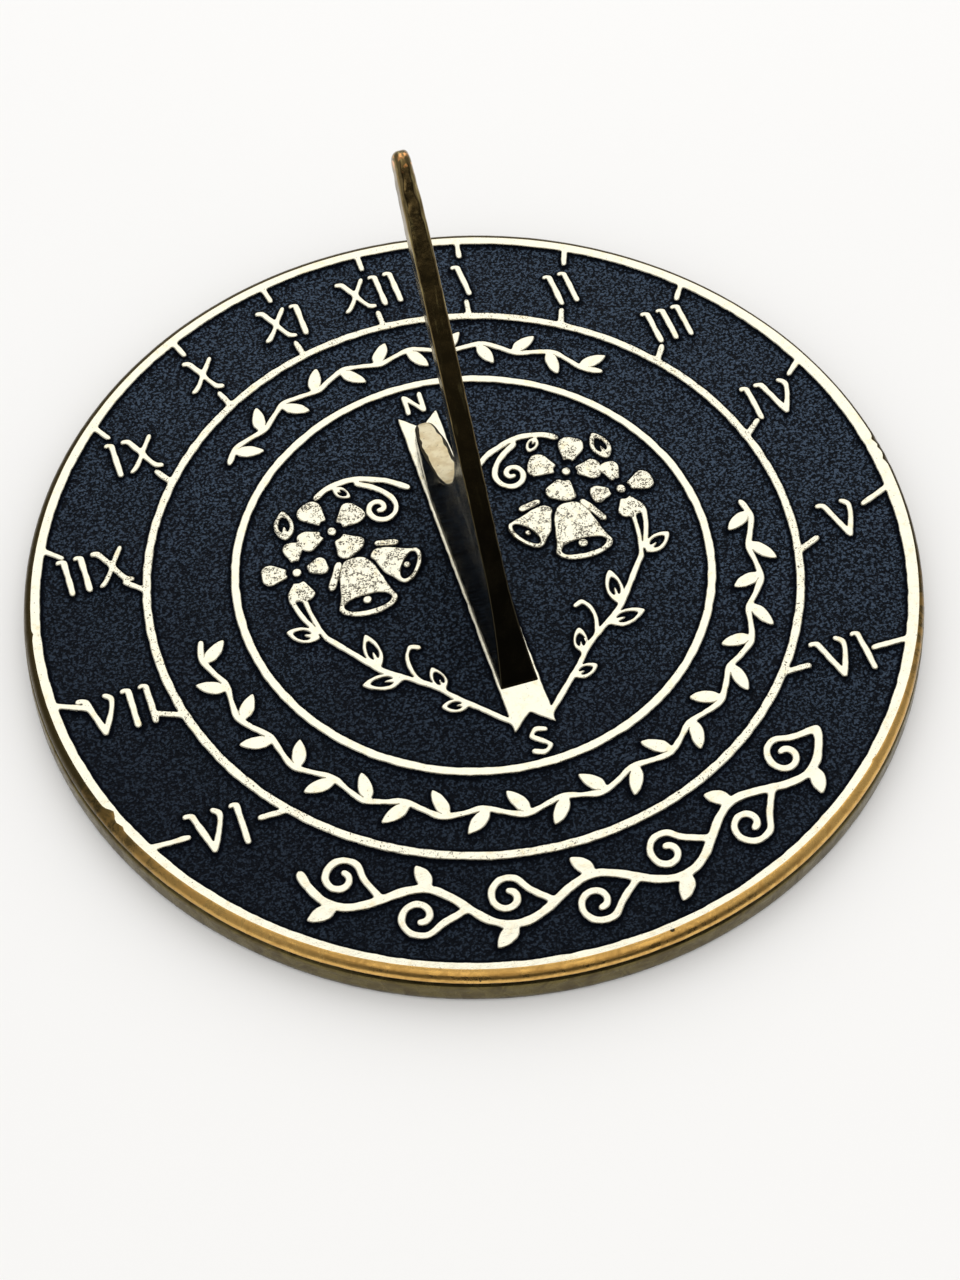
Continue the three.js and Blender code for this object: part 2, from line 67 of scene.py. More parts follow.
# The rim, and how its bevel is worn wider to the south and left narrower to the east
RIM_SEGMENTS = 720
BEVEL_WIDTH = 1.9
BEVEL_HEIGHT = 2.0
BEVEL_RINGS = 12
GROOVE_FOOT = 6.55
GROOVE_TOP = 7.5
SOUTH_WEAR = 0.65
EAST_FULLNESS = 0.8
UNDERSIDE_RINGS = 64

# Outlines of the relief: corners turn more than CORNER_TURN and stay sharp, blunter ones are smoothed.
# The ends of a long side are pinned so that it stays straight.
OUTLINE_STEP = 0.42
LEAST_GAP = 0.3
CORNER_TURN = math.radians(64)
BLUNT_TURN = math.radians(25)
LONG_SIDE = 5.2
LONG_SIDE_FROM_CORNER = 4.0
PIN_REACH = 0.6
ROOTED = 0.3

# The enamelled field, with the paint pooled against the raised work
FIELD_CELLS = 400
POOL_HEIGHT = 0.55
POOL_WIDTH = 0.95

# The gnomon, with heights above the relief that it stands on
STYLE_ANGLE = math.radians(46)
STYLE_ROOT_Y = gnomon_low.y / MM
TIP_HEIGHT = 88.5
TIP_RADIUS = 2.9
BACK_TOP = TIP_HEIGHT - 6
FOOT_SHOULDER_Y = 18
FOOT_NORTH_Y = 43.5
FOOT_END_HEIGHT = 3.4
FOOT_END_RADIUS = 2.6
FOOT_HEIGHT = 14
BASE_HALF_THICKNESS = gnomon_high.x / MM
BLADE_HALF_THICKNESS = 2.4
FLARE_HEIGHT = 22
EDGE_ROUNDING = 0.42
GNOMON_STEP = 0.8
GNOMON_GRID = 1.6


# ---------------------------------------------------------------- meshes


def mesh_object(name, points, faces, materials):
    """An object of the given points in mm and faces, each a pair of vertex numbers and material number."""
    mesh = bpy.data.meshes.new(name)
    mesh.from_pydata([Vector(p) * MM for p in points], [], [corners for corners, _ in faces])
    for material in materials:
        mesh.materials.append(material)
    mesh.polygons.foreach_set("material_index", [index for _, index in faces])
    mesh.polygons.foreach_set("use_smooth", [True] * len(faces))
    mesh.update()
    obj = bpy.data.objects.new(name, mesh)
    bpy.context.scene.collection.objects.link(obj)
    return obj


def add_layer(obj, name, values):
    """Gives each of the object's points a value that its material can read."""
    layer = obj.data.attributes.new(name, "FLOAT", "POINT")
    layer.data.foreach_set("value", values)


def ripple(point, size, amount):
    """A smooth random value up to about `amount` either way, with features of about `size` mm."""
    return amount * noise.noise(Vector(point) / size)


def point_tree(points):
    """A search tree over flat points."""
    tree = KDTree(len(points))
    for number, point in enumerate(points):
        tree.insert((*point, 0), number)
    tree.balance()
    return tree


def between(value, table):
    """Reads a table of pairs at a value, going straight from one pair to the next."""
    return np.interp(value, *zip(*table))


# ---------------------------------------------------------------- outlines of the raised work


def boundary_loops(region):
    """The boundaries of a connected region of faces, each a closed line with the region on its left."""
    members = set(region)
    follows = {}
    for face in region:
        for corner in face.loops:
            if not any(g is not face and g in members for g in corner.edge.link_faces):
                follows.setdefault(corner.vert, []).append(corner.link_loop_next.vert)
    loops = []
    for start in list(follows):
        while follows[start]:
            line = [start]
            current = follows[start].pop()
            while current is not start:
                line.append(current)
                current = follows[current].pop()
            loops.append(np.array([(v.co.x / MM, v.co.y / MM) for v in line]))
    return loops


def top_regions(node):
    """For each separate flat top of a CAD node, its boundary loops."""
    mesh = bmesh.new()
    mesh.from_mesh(node.data)
    bmesh.ops.remove_doubles(mesh, verts=mesh.verts, dist=1e-6)
    level = max(v.co.z for v in mesh.verts)
    for face in mesh.faces:
        face.tag = face.normal.z > 0.99 and all(level - v.co.z < 1e-6 for v in face.verts)
    regions = []
    for face in mesh.faces:
        if not face.tag:
            continue
        face.tag = False
        region = []
        waiting = [face]
        while waiting:
            current = waiting.pop()
            region.append(current)
            for edge in current.edges:
                for other in edge.link_faces:
                    if other.tag:
                        other.tag = False
                        waiting.append(other)
        regions.append(boundary_loops(region))
    mesh.free()
    return regions


def area(loop):
    """The area inside a closed line, positive where it runs anticlockwise."""
    x, y = loop[:, 0], loop[:, 1]
    return 0.5 * float(np.sum(x * np.roll(y, -1) - np.roll(x, -1) * y))


def perimeter(loop):
    """The length of a closed line."""
    return float(np.linalg.norm(loop - np.roll(loop, 1, axis=0), axis=1).sum())


def thinned(loop, least):
    """The loop without points closer than `least` to the one kept before them."""
    kept = [loop[0]]
    for point in loop[1:]:
        if np.linalg.norm(point - kept[-1]) >= least:
            kept.append(point)
    if len(kept) > 3 and np.linalg.norm(kept[-1] - kept[0]) < least:
        kept.pop()
    return np.array(kept)


def turns(loop):
    """The change of direction at each point of a closed line, anticlockwise positive."""
    arriving = loop - np.roll(loop, 1, axis=0)
    leaving = np.roll(loop, -1, axis=0) - loop
    cross = arriving[:, 0] * leaving[:, 1] - arriving[:, 1] * leaving[:, 0]
    return np.arctan2(cross, np.sum(arriving * leaving, axis=1))


def rotated(vector, angle):
    """A flat vector turned anticlockwise."""
    c, s = math.cos(angle), math.sin(angle)
    return np.array([c * vector[0] - s * vector[1], s * vector[0] + c * vector[1]])


def spline_piece(before, start, end, after, count):
    """`count` points from start towards end on a centripetal Catmull-Rom curve."""
    points = [before, start, end, after]
    knots = [0.0]
    for a, b in zip(points, points[1:]):
        knots.append(knots[-1] + max(np.linalg.norm(b - a), 1e-6) ** 0.5)
    t0, t1, t2, t3 = knots
    t = np.linspace(t1, t2, count, endpoint=False)[:, None]
    a1 = (t1 - t) / (t1 - t0) * before + (t - t0) / (t1 - t0) * start
    a2 = (t2 - t) / (t2 - t1) * start + (t - t1) / (t2 - t1) * end
    a3 = (t3 - t) / (t3 - t2) * end + (t - t2) / (t3 - t2) * after
    b1 = (t2 - t) / (t2 - t0) * a1 + (t - t0) / (t2 - t0) * a2
    b2 = (t3 - t) / (t3 - t1) * a2 + (t - t1) / (t3 - t1) * a3
    return (t2 - t) / (t2 - t1) * b1 + (t - t1) / (t2 - t1) * b2


def pinned(loop):
    """The loop with a point near each end of its long sides, which keeps them straight."""
    turn = np.abs(turns(loop))
    count = len(loop)
    points = []
    for i in range(count):
        far = (i + 1) % count
        start, end = loop[i], loop[far]
        points.append(start)
        length = np.linalg.norm(end - start)
        from_corner = max(turn[i], turn[far]) > CORNER_TURN
        if length < (LONG_SIDE_FROM_CORNER if from_corner else LONG_SIDE):
            continue
        if turn[i] > BLUNT_TURN:
            points.append(start + (end - start) * PIN_REACH / length)
        if turn[far] > BLUNT_TURN:
            points.append(end - (end - start) * PIN_REACH / length)
    return np.array(points)


def curved(loop):
    """The loop with its straight pieces bent into smooth curves between its sharp corners."""
    turn = turns(loop)
    sharp = np.abs(turn) > CORNER_TURN
    count = len(loop)
    pieces = []
    for i in range(count):
        before, start, end, after = (loop[(i + k) % count] for k in (-1, 0, 1, 2))
        far = (i + 1) % count
        length = np.linalg.norm(end - start)
        if sharp[i]:
            before = start + rotated(start - end, 0 if sharp[far] else -turn[far])
        if sharp[far]:
            after = end + rotated(end - start, 0 if sharp[i] else turn[i])
        steps = max(1, round(length / OUTLINE_STEP))
        pieces.append(spline_piece(before, start, end, after, steps))
    return np.concatenate(pieces)


def respaced(loop, step):
    """Points the same distance apart round a closed line."""
    closed = np.vstack([loop, loop[:1]])
    along = np.concatenate([[0], np.cumsum(np.linalg.norm(np.diff(closed, axis=0), axis=1))])
    count = max(8, round(along[-1] / step))
    places = np.linspace(0, along[-1], count, endpoint=False)
    return np.column_stack([np.interp(places, along, closed[:, k]) for k in (0, 1)])


def softened(loop, passes):
    """The loop with its corners rounded off, as a casting's are."""
    for _ in range(passes):
        loop = (np.roll(loop, 1, axis=0) + 2 * loop + np.roll(loop, -1, axis=0)) / 4
    return loop


def outward(loop):
    """Unit vectors away from the region on the left of a closed line."""
    along = np.roll(loop, -1, axis=0) - np.roll(loop, 1, axis=0)
    along /= np.maximum(np.linalg.norm(along, axis=1), 1e-9)[:, None]
    return np.column_stack([along[:, 1], -along[:, 0]])


def hand_cut(loop):
    """A smooth outline with the small irregularities of a hand-made pattern."""
    smooth = curved(pinned(thinned(loop, LEAST_GAP)))
    loop = softened(respaced(smooth, OUTLINE_STEP), passes=2)
    wander = [ripple((x, y, 0), 3.1, 0.16) + ripple((x, y, 9), 1.1, 0.07) for x, y in loop]
    return loop + outward(loop) * np.array(wander)[:, None]


# ---------------------------------------------------------------- raised work

# How far the side of the raised work stands out from its outline, and how high that is: a sloping
# wall down into the field, and a worn edge round the flat top
SIDE = [
    (0.38, FIELD_Z - ROOTED),
    (0.24, FIELD_Z),
    (0.1, RELIEF_TOP - 0.3),
    (0.03, RELIEF_TOP - 0.14),
    (-0.07, RELIEF_TOP - 0.04),
    (-0.2, RELIEF_TOP),
]


class Solid:
    """Points and faces gathered for one mesh. A face is its corners and its material number."""

    def __init__(self):
        self.points = []
        self.faces = []
        self.flat = []

    def add_points(self, points):
        first = len(self.points)
        self.points.extend(tuple(p) for p in points)
        return first

    def join_rings(self, lower, upper, count, material=0):
        for i in range(count):
            j = (i + 1) % count
            self.faces.append(((lower + i, lower + j, upper + j, upper + i), material))

    def cap(self, rings, upward=True, material=0):
        """Fills between closed rings, given by their first point and count: an outer one and its holes."""
        lines = [[Vector(self.points[k][:2]).to_3d() for k in range(first, first + count)]
                 for first, count in rings]
        numbers = [k for first, count in rings for k in range(first, first + count)]
        for corners in tessellate_polygon(lines):
            a, b, c = (numbers[k] for k in corners)
            (ax, ay), (bx, by), (cx, cy) = (self.points[k][:2] for k in (a, b, c))
            anticlockwise = (bx - ax) * (cy - ay) - (by - ay) * (cx - ax) > 0
            self.flat.append(len(self.faces))
            self.faces.append(((a, b, c) if anticlockwise == upward else (a, c, b), material))

    def object(self, name, materials):
        obj = mesh_object(name, self.points, self.faces, materials)
        for index in self.flat:
            obj.data.polygons[index].use_smooth = False
        return obj


def raise_wall(solid, loop):
    """Adds the side of a raised shape along one of its outlines, and gives its foot and its top edge."""
    away = outward(loop)
    rings = [solid.add_points((x, y, z) for x, y in loop + away * reach) for reach, z in SIDE]
    for lower, upper in zip(rings, rings[1:]):
        solid.join_rings(lower, upper, len(loop))
    return (rings[0], len(loop)), (rings[-1], len(loop))


def raise_region(solid, loops):
    """Adds a raised shape to a solid, closed beneath."""
    walls = [raise_wall(solid, loop) for loop in loops]
    solid.cap([top for _, top in walls])
    solid.cap([foot for foot, _ in walls], upward=False)


# Areas that tell the raised shapes apart, and how compact a petal or bell is: area over perimeter squared
PETAL_AREA = 300
SPRAY_AREA = 5000
MIDDLE_RING_AREA = 15000
PETAL_COMPACTNESS = 0.03


def pitting(loops, points):
    """How pitted a raised shape is at its points: petals and bells all over, the middle ring in places."""
    extent = area(loops[0])
    spread = np.linalg.norm(loops[0], axis=1).max()
    if spread < INNER_RING_EDGE and extent < SPRAY_AREA:
        compact = extent < PETAL_AREA and extent / perimeter(loops[0]) ** 2 > PETAL_COMPACTNESS
        # the outermost petal of each spray has grown together with the vine below it
        return [1.0 if compact or abs(x) > 30 and y > 1 else 0.0 for x, y, _ in points]
    return [0.6 if extent > MIDDLE_RING_AREA else 0.0] * len(points)


def circle(radius):
    """Points round a circle, anticlockwise from the east."""
    angles = np.arange(RIM_SEGMENTS) / RIM_SEGMENTS * 2 * math.pi
    return np.column_stack([radius * np.cos(angles), radius * np.sin(angles)])


# ---------------------------------------------------------------- materials


class Nodes:
    """A node material under construction. Positions are the object's own, in millimetres."""

    def __init__(self, name):
        self.material = bpy.data.materials.new(name)
        self.material.use_nodes = True
        self.tree = self.material.node_tree
        self.tree.nodes.clear()
        self.shader = self.add("ShaderNodeBsdfPrincipled")
        output = self.add("ShaderNodeOutputMaterial")
        self.link(self.shader.outputs["BSDF"], output.inputs["Surface"])
        coordinates = self.add("ShaderNodeTexCoord")
        scaled = self.add("ShaderNodeVectorMath", operation="SCALE")
        scaled.inputs["Scale"].default_value = 1 / MM
        self.link(coordinates.outputs["Object"], scaled.inputs[0])
        self.place = scaled.outputs[0]

    def add(self, kind, **settings):
        node = self.tree.nodes.new(kind)
        for key, value in settings.items():
            setattr(node, key, value)
        return node

    def link(self, source, target):
        self.tree.links.new(source, target)

    def feed(self, target, value):
        if isinstance(value, bpy.types.NodeSocket):
            self.link(value, target)
        else:
            target.default_value = value

    def stretched(self, scale, turn=0.0):
        """The place in a frame that is turned about the vertical and scaled, for drawn-out noise."""
        mapping = self.add("ShaderNodeMapping")
        mapping.inputs["Scale"].default_value = scale
        mapping.inputs["Rotation"].default_value = (0, 0, turn)
        self.link(self.place, mapping.inputs["Vector"])
        return mapping.outputs[0]

    def noise(self, size, detail=2.0, roughness=0.5, distortion=0.0, place=None):
        """Cloudy noise, 0 to 1, with features of about `size` mm."""
        node = self.add("ShaderNodeTexNoise")
        self.link(place or self.place, node.inputs["Vector"])
        node.inputs["Scale"].default_value = 1 / size
        node.inputs["Detail"].default_value = detail
        node.inputs["Roughness"].default_value = roughness
        node.inputs["Distortion"].default_value = distortion
        return node.outputs["Fac"]

    def cells(self, size, feature):
        """Distances in a pattern of rounded cells of about `size` mm."""
        node = self.add("ShaderNodeTexVoronoi", feature=feature)
        self.link(self.place, node.inputs["Vector"])
        node.inputs["Scale"].default_value = 1 / size
        return node.outputs["Distance"]

    def ramp(self, value, low, high, start=0.0, end=1.0):
        """Goes smoothly from start to end as value goes from low to high."""
        node = self.add("ShaderNodeMapRange", interpolation_type="SMOOTHSTEP")
        self.feed(node.inputs["Value"], value)
        node.inputs["From Min"].default_value = low
        node.inputs["From Max"].default_value = high
        node.inputs["To Min"].default_value = start
        node.inputs["To Max"].default_value = end
        return node.outputs["Result"]

    def maths(self, operation, first, second=0.0):
        node = self.add("ShaderNodeMath", operation=operation)
        self.feed(node.inputs[0], first)
        self.feed(node.inputs[1], second)
        return node.outputs[0]

    def mix(self, amount, first, second):
        """first where amount is 0 and second where it is 1, for colours."""
        node = self.add("ShaderNodeMix", data_type="RGBA")
        self.feed(node.inputs["Factor"], amount)
        self.feed(node.inputs["A"], first)
        self.feed(node.inputs["B"], second)
        return node.outputs["Result"]

    def along(self, direction):
        """How far the place lies in a direction, in mm."""
        product = self.add("ShaderNodeVectorMath", operation="DOT_PRODUCT")
        self.link(self.place, product.inputs[0])
        product.inputs[1].default_value = direction
        return product.outputs["Value"]

    def height(self):
        """The height above the table, in mm."""
        return self.along((0, 0, 1))

    def attribute(self, name):
        """A value that add_layer gave to the object's points."""
        node = self.add("ShaderNodeAttribute", attribute_name=name)
        return node.outputs["Fac"]

    def spots(self, places):
        """1 within each of the given spheres and 0 outside them."""
        total = 0.0
        for *centre, radius in places:
            away = self.add("ShaderNodeVectorMath", operation="DISTANCE")
            self.link(self.place, away.inputs[0])
            away.inputs[1].default_value = centre
            inside = self.ramp(away.outputs["Value"], radius * 0.8, radius, 1.0, 0.0)
            total = self.maths("MAXIMUM", inside, total)
        return total

    def bump(self, value, depth, over=None):
        """A surface that rises `depth` mm as the value goes from 0 to 1, on top of another."""
        node = self.add("ShaderNodeBump")
        self.link(value, node.inputs["Height"])
        node.inputs["Distance"].default_value = depth * MM
        node.inputs["Strength"].default_value = 1.0
        if over is not None:
            self.link(over, node.inputs["Normal"])
        return node.outputs["Normal"]

    def finish(self, colour, roughness, metallic, normal=None):
        """Connects the shader and gives the finished material."""
        for name, value in (("Base Color", colour), ("Roughness", roughness), ("Metallic", metallic)):
            self.feed(self.shader.inputs[name], value)
        if normal is not None:
            self.link(normal, self.shader.inputs["Normal"])
        return self.material


def rgb(red, green, blue):
    return (red, green, blue, 1.0)


# The enamel's own dark blue, and a paler blue copy of it painted on as sheen
ENAMEL_DEEP = rgb(0.0008, 0.0015, 0.004)
ENAMEL_SHEEN = rgb(0.049, 0.073, 0.112)

# Polished brass: the tops of the raised work
PALE_BRASS = rgb(0.91, 0.87, 0.71)
WARM_BRASS = rgb(0.86, 0.76, 0.50)
PIT_BROWN = rgb(0.06, 0.045, 0.025)

# The rim, from the bevel down
GOLDEN_BRASS = rgb(0.82, 0.50, 0.15)
ORANGE_BRASS = rgb(0.58, 0.33, 0.09)
# Painted shade: the bevel away from the south is painted this dark
BEVEL_SHADE_BRASS = rgb(0.07, 0.052, 0.02)
OLIVE_BRASS = rgb(0.16, 0.125, 0.042)
TARNISH = rgb(0.09, 0.066, 0.027)
# Painted shade, in the groove and at the foot of the band
SHADE_UMBER = rgb(0.035, 0.026, 0.012)

# Raw casting: the underside, and the back of the gnomon
CAST_BRASS = rgb(0.33, 0.24, 0.11)
CAST_STAIN = rgb(0.15, 0.105, 0.055)
CAST_GRIT = rgb(0.07, 0.05, 0.03)
FILED_BRASS = rgb(0.97, 0.87, 0.62)
SANDY_BRASS = rgb(0.80, 0.66, 0.40)
SAND_MARK = rgb(0.24, 0.17, 0.09)

# The sides of the gnomon
DARK_BRASS = rgb(0.25, 0.185, 0.08)
SMEARED_BRASS = rgb(0.13, 0.095, 0.04)
RUBBED_BRASS = rgb(0.50, 0.41, 0.18)
# Painted shade for the gnomon low down
LOW_SHADE_BRASS = rgb(0.062, 0.052, 0.03)
# Painted glints: coppery specks at the gnomon's tip
COPPER_GLINT = rgb(0.85, 0.42, 0.16)

ZINC = rgb(0.60, 0.61, 0.62)
DULL_ZINC = rgb(0.38, 0.36, 0.33)


def enamel_grain(nodes):
    """The height of the leathery sand-cast skin under the paint."""
    coarse = nodes.noise(0.7, detail=3, roughness=0.6, distortion=0.8, place=nodes.stretched((0.75, 1, 1)))
    blobs = nodes.cells(0.62, feature="SMOOTH_F1")
    fine = nodes.noise(0.28, detail=2)
    lumpy = nodes.maths("SUBTRACT", coarse, nodes.maths("MULTIPLY", blobs, 0.55))
    return nodes.maths("ADD", lumpy, nodes.maths("MULTIPLY", fine, 0.3))


def enamel_finish():
    """Dark blue paint, thick where it meets the raised work, with a painted sheen on the high points of
    the grain that grows towards the north-east, and painted shade in the hollows of the grain and against
    the raised work.
    """
    nodes = Nodes("enamel_finish")
    grain = enamel_grain(nodes)
    clear = nodes.ramp(nodes.attribute("open"), 0.15, 0.95)
    # Painted sheen on the high points of the grain, which leaves painted shade in its hollows; it is held
    # off near the raised work, which leaves painted shade against it
    painted_sheen = nodes.maths("MULTIPLY", nodes.ramp(grain, 0.37, 0.58), clear)
    # the painted sheen is strongest to the north-east, and a little uneven
    north_east = nodes.along((0.5, 0.87, 0))
    painted_sheen = nodes.maths("MULTIPLY", painted_sheen, nodes.ramp(north_east, -90, 70, 0.38, 1.3))
    painted_sheen = nodes.maths("MULTIPLY", painted_sheen, nodes.ramp(nodes.noise(11, detail=4), 0.3, 0.7, 0.75, 1.0))
    colour = nodes.mix(painted_sheen, ENAMEL_DEEP, ENAMEL_SHEEN)
    nodes.shader.inputs["Specular IOR Level"].default_value = 0.11
    nodes.shader.inputs["Specular Tint"].default_value = rgb(0.72, 0.85, 1.0)
    roughness = nodes.maths("SUBTRACT", 1.15, nodes.maths("MULTIPLY", clear, 0.85))
    return nodes.finish(colour, roughness, 0.0, nodes.bump(grain, 0.5))


def relief_finish():
    """Polished brass on the tops, scratched and pitted, with enamel on the walls below a ragged line."""
    nodes = Nodes("relief_finish")
    wavering = nodes.ramp(nodes.noise(0.7, detail=3), 0.3, 0.7, -0.1, 0.1)
    ragged = nodes.maths("ADD", nodes.height(), wavering)
    bare = nodes.ramp(ragged, RELIEF_TOP - 0.24, RELIEF_TOP - 0.14)

    scratches = nodes.noise(1.0, detail=3, place=nodes.stretched((0.35, 9, 1), turn=0.5))
    cross_scratches = nodes.noise(1.0, detail=3, place=nodes.stretched((0.3, 11, 1), turn=-0.9))
    clouds = nodes.noise(2.2, detail=3, roughness=0.5)
    patches = nodes.ramp(nodes.noise(1.7, detail=2), 0.36, 0.56)
    pit_field = nodes.noise(0.36, detail=3, roughness=0.6)
    pitted = nodes.maths("MULTIPLY", nodes.attribute("pitted"), patches)
    pit_level = nodes.maths("ADD", pit_field, nodes.maths("MULTIPLY", pitted, 0.2))
    pits = nodes.ramp(pit_level, 0.71, 0.77)
    specks = nodes.ramp(nodes.noise(0.45, detail=2), 0.7, 0.76)
    marks = nodes.maths("MAXIMUM", pits, nodes.maths("MULTIPLY", specks, 0.8))

    brass = nodes.mix(nodes.ramp(clouds, 0.55, 0.85), PALE_BRASS, WARM_BRASS)
    brass = nodes.mix(nodes.maths("MULTIPLY", marks, 0.9), brass, PIT_BROWN)
    colour = nodes.mix(bare, ENAMEL_DEEP, brass)
    worn = nodes.ramp(clouds, 0.3, 0.7, 0.14, 0.24)
    roughness = nodes.maths("ADD", worn, nodes.maths("MULTIPLY", marks, 0.25))
    metallic = nodes.maths("MULTIPLY", bare, nodes.ramp(marks, 0.0, 1.0, 1.0, 0.6))

    dents = nodes.bump(clouds, 0.07)
    lines = nodes.bump(nodes.maths("ADD", scratches, cross_scratches), 0.012, over=dents)
    normal = nodes.bump(marks, -0.1, over=lines)
    return nodes.finish(colour, roughness, metallic, normal)


# Pinholes in the casting: east, north, height, radius
CASTING_HOLES = [
    (12.3, -105.9, 9.3, 0.62),
    (-31, -104.4, 8.4, 0.24),
    (24, -106.2, 7.0, 0.3),
    (-104.6, -29, 8.6, 0.3),
    (88, -63.5, 8.2, 0.26),
    (60, 89, 9.2, 0.22),
]


def edge_finish():
    """The turned outside of the rim: bright on the bevel to the south, with painted shade on the rest of
    the bevel, in the groove and at the foot of the band, and tarnished below."""
    nodes = Nodes("edge_finish")
    wavering = nodes.ramp(nodes.noise(3, detail=4), 0.3, 0.7, -0.14, 0.14)
    level = nodes.maths("ADD", nodes.height(), wavering)
    holes = nodes.spots(CASTING_HOLES)
    smears = nodes.noise(4, detail=6, roughness=0.7, distortion=0.8)

    bevel = nodes.mix(nodes.ramp(smears, 0.42, 0.75), GOLDEN_BRASS, ORANGE_BRASS)
    # Painted shade: only the south of the bevel keeps its bright brass, and the rest is painted dark
    southward = nodes.maths("ADD", nodes.along((0, -1, 0)), nodes.ramp(smears, 0.3, 0.7, -12, 12))
    south_lit = nodes.ramp(southward, 30, 85)
    bevel = nodes.mix(south_lit, BEVEL_SHADE_BRASS, bevel)

    band = nodes.mix(nodes.ramp(smears, 0.36, 0.7), OLIVE_BRASS, TARNISH)
    # Painted shade: the band darkens towards its foot
    band = nodes.mix(nodes.ramp(level, 0.2, 2.2), SHADE_UMBER, band)
    # Painted shade in the groove
    in_groove = nodes.ramp(level, GROOVE_FOOT - 0.2, GROOVE_FOOT + 0.2)
    on_bevel = nodes.ramp(level, GROOVE_TOP - 0.15, GROOVE_TOP + 0.15)
    colour = nodes.mix(in_groove, band, SHADE_UMBER)
    colour = nodes.mix(on_bevel, colour, bevel)
    colour = nodes.mix(holes, colour, PIT_BROWN)

    roughness = nodes.ramp(smears, 0.3, 0.7, 0.2, 0.4)
    metallic = nodes.ramp(level, 6.2, 7.6, 0.9, 1.0)
    turning = nodes.noise(1.0, detail=3, place=nodes.stretched((0.05, 0.05, 5)))
    normal = nodes.bump(turning, 0.03, over=nodes.bump(nodes.noise(2.6, detail=4), 0.14))
    normal = nodes.bump(holes, -0.6, over=normal)
    return nodes.finish(colour, roughness, metallic, normal)


def raw_cast_finish():
    """The underside, as it came out of the sand."""
    nodes = Nodes("raw_cast_finish")
    stains = nodes.noise(14, detail=6, roughness=0.65)
    grain = nodes.noise(0.9, detail=4, roughness=0.7)
    colour = nodes.mix(nodes.ramp(stains, 0.35, 0.68), CAST_BRASS, CAST_STAIN)
    colour = nodes.mix(nodes.ramp(grain, 0.52, 0.72), colour, CAST_GRIT)
    roughness = nodes.ramp(grain, 0.3, 0.7, 0.46, 0.68)
    return nodes.finish(colour, roughness, 0.85, nodes.bump(grain, 0.3))


def gnomon_finish():
    """Polished brass gone dark, with long streaks worn bright by rubbing, painted shade low down, and
    coppery specks painted at the tip as glints.
    """
    nodes = Nodes("gnomon_finish")
    smears = nodes.noise(7, detail=6, roughness=0.65, distortion=0.5)
    streaks = nodes.noise(1.0, detail=4, place=nodes.stretched((1, 0.12, 0.12)))
    colour = nodes.mix(nodes.ramp(smears, 0.38, 0.7), DARK_BRASS, SMEARED_BRASS)
    colour = nodes.mix(nodes.ramp(streaks, 0.55, 0.74), colour, RUBBED_BRASS)
    # Painted shade: the gnomon is darker low down
    colour = nodes.mix(nodes.ramp(nodes.height(), 25, 70), LOW_SHADE_BRASS, colour)
    top = RELIEF_TOP + TIP_HEIGHT
    # Painted glints: coppery specks near the tip
    at_tip = nodes.ramp(nodes.height(), top - 4, top - 2)
    specks = nodes.ramp(nodes.noise(1.5), 0.54, 0.64)
    colour = nodes.mix(nodes.maths("MULTIPLY", at_tip, specks), colour, COPPER_GLINT)
    roughness = nodes.ramp(smears, 0.3, 0.7, 0.1, 0.26)
    waves = nodes.bump(nodes.noise(5, detail=3), 0.12)
    normal = nodes.bump(streaks, 0.03, over=waves)
    return nodes.finish(colour, roughness, 1.0, normal)


def cast_foot_finish():
    """The back edge of the gnomon, sandy and only lightly filed."""
    nodes = Nodes("cast_foot_finish")
    grain = nodes.noise(0.8, detail=5, roughness=0.7)
    clouds = nodes.noise(3, detail=3)
    colour = nodes.mix(nodes.ramp(clouds, 0.35, 0.68), FILED_BRASS, SANDY_BRASS)
    colour = nodes.mix(nodes.ramp(grain, 0.6, 0.74), colour, SAND_MARK)
    colour = nodes.mix(nodes.ramp(nodes.height(), 16, 42), colour, DARK_BRASS)
    filing = nodes.noise(1.0, detail=3, place=nodes.stretched((3.5, 0.3, 0.3)))
    roughness = nodes.ramp(grain, 0.3, 0.7, 0.42, 0.56)
    return nodes.finish(colour, roughness, 0.9, nodes.bump(filing, 0.05, over=nodes.bump(grain, 0.16)))


def steel_finish():
    """Zinc-plated steel, brushed and dull in places."""
    nodes = Nodes("steel_finish")
    brushing = nodes.noise(1.0, detail=3, place=nodes.stretched((0.4, 8, 1)))
    spots = nodes.noise(1.6, detail=4, roughness=0.7)
    colour = nodes.mix(nodes.ramp(spots, 0.5, 0.75), ZINC, DULL_ZINC)
    roughness = nodes.ramp(brushing, 0.3, 0.7, 0.24, 0.42)
    return nodes.finish(colour, roughness, 1.0, nodes.bump(brushing, 0.02))


def floor_finish():
    """Plain pale paint."""
    nodes = Nodes("floor_finish")
    colour = nodes.mix(nodes.noise(400, detail=2), rgb(0.86, 0.86, 0.86), rgb(0.89, 0.89, 0.89))
    return nodes.finish(colour, 0.75, 0.0)


# ---------------------------------------------------------------- dial plate


# The side of the rim below its bevel, and the foot: distance out from the dial's radius, and height
GROOVE = [(-0.98, 7.25), (-1.24, 7.05), (-1.3, 6.8), (-1.1, 6.55), (-0.72, 6.36)]
BAND = [(-0.55, 6.1), (-0.4, 5), (-0.26, 3.6), (-0.12, 2.4), (-0.06, 1.6)]
LOWER_EDGE = [(-0.1, 1), (-0.25, 0.55), (-0.55, 0.22), (-1, 0.06)]
PLATE_FOOT = [(-2, 0.03), (-3.2, 0.04), (0.5 - SKIRT_THICKNESS, 0.08)]

# The side of the recess beneath: distance in from the skirt, and height
RECESS_SIDE = [(0, 0.4), (0.2, 1.5), (0.5, 3), (0.8, 4.3), (1.3, 5), (2.2, RECESS_Z)]

